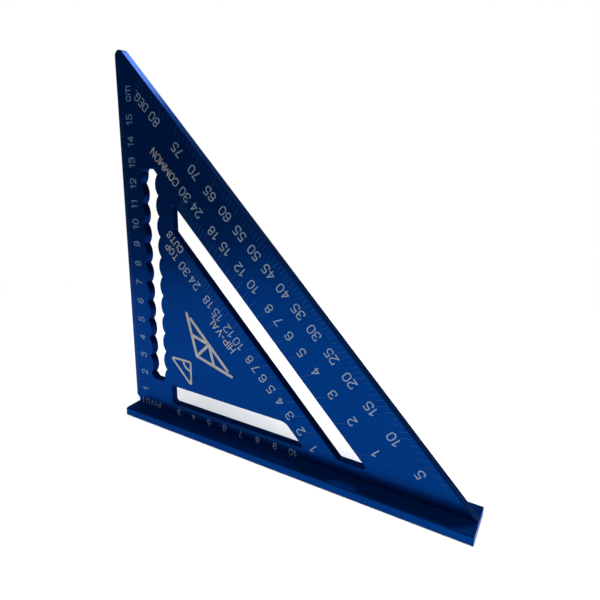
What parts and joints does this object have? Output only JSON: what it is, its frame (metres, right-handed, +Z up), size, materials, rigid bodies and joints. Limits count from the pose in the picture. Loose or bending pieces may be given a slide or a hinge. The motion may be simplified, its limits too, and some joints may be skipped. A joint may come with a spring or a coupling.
{
  "type": "rafter square",
  "caption": "Right-angle rafter square: slotted triangular blade on a T fence, with etched centimetre, degree and rafter scales.",
  "frame": {"origin": "middle of the fence's underside, on the surface the square stands on", "axes": "+X along the fence from the pivot end to the far end, +Y through the blade from its etched front to its back, +Z up the leg"},
  "size_m": [0.185, 0.0192, 0.1855],
  "materials": {
    "anodised_blade": "satin blue anodised",
    "anodised_fence": "satin blue anodised",
    "etched_lines": "shallow laser etch",
    "etched_ruler_numerals": "laser etch",
    "etched_numerals": "laser etch",
    "etched_legend": "laser etch"
  },
  "bodies": {
    "root": {"blade": "anodised_blade", "fence": "anodised_fence", "leg_ticks": "etched_lines", "fence_ticks": "etched_lines", "degree_ticks": "etched_lines", "common_ticks": "etched_lines", "hip_valley_ticks": "etched_lines", "leg_numerals": "etched_ruler_numerals", "leg_unit_mark": "etched_ruler_numerals", "fence_numerals": "etched_ruler_numerals", "pivot_legend": "etched_ruler_numerals", "degree_numerals": "etched_numerals", "degree_legend": "etched_numerals", "common_numerals": "etched_numerals", "hip_valley_numerals": "etched_numerals", "common_legend": "etched_legend", "hip_valley_legend": "etched_legend", "top_cuts_legend": "etched_legend", "roof_pictogram": "etched_legend", "square_pictogram": "etched_legend"}
  },
  "joints": []
}
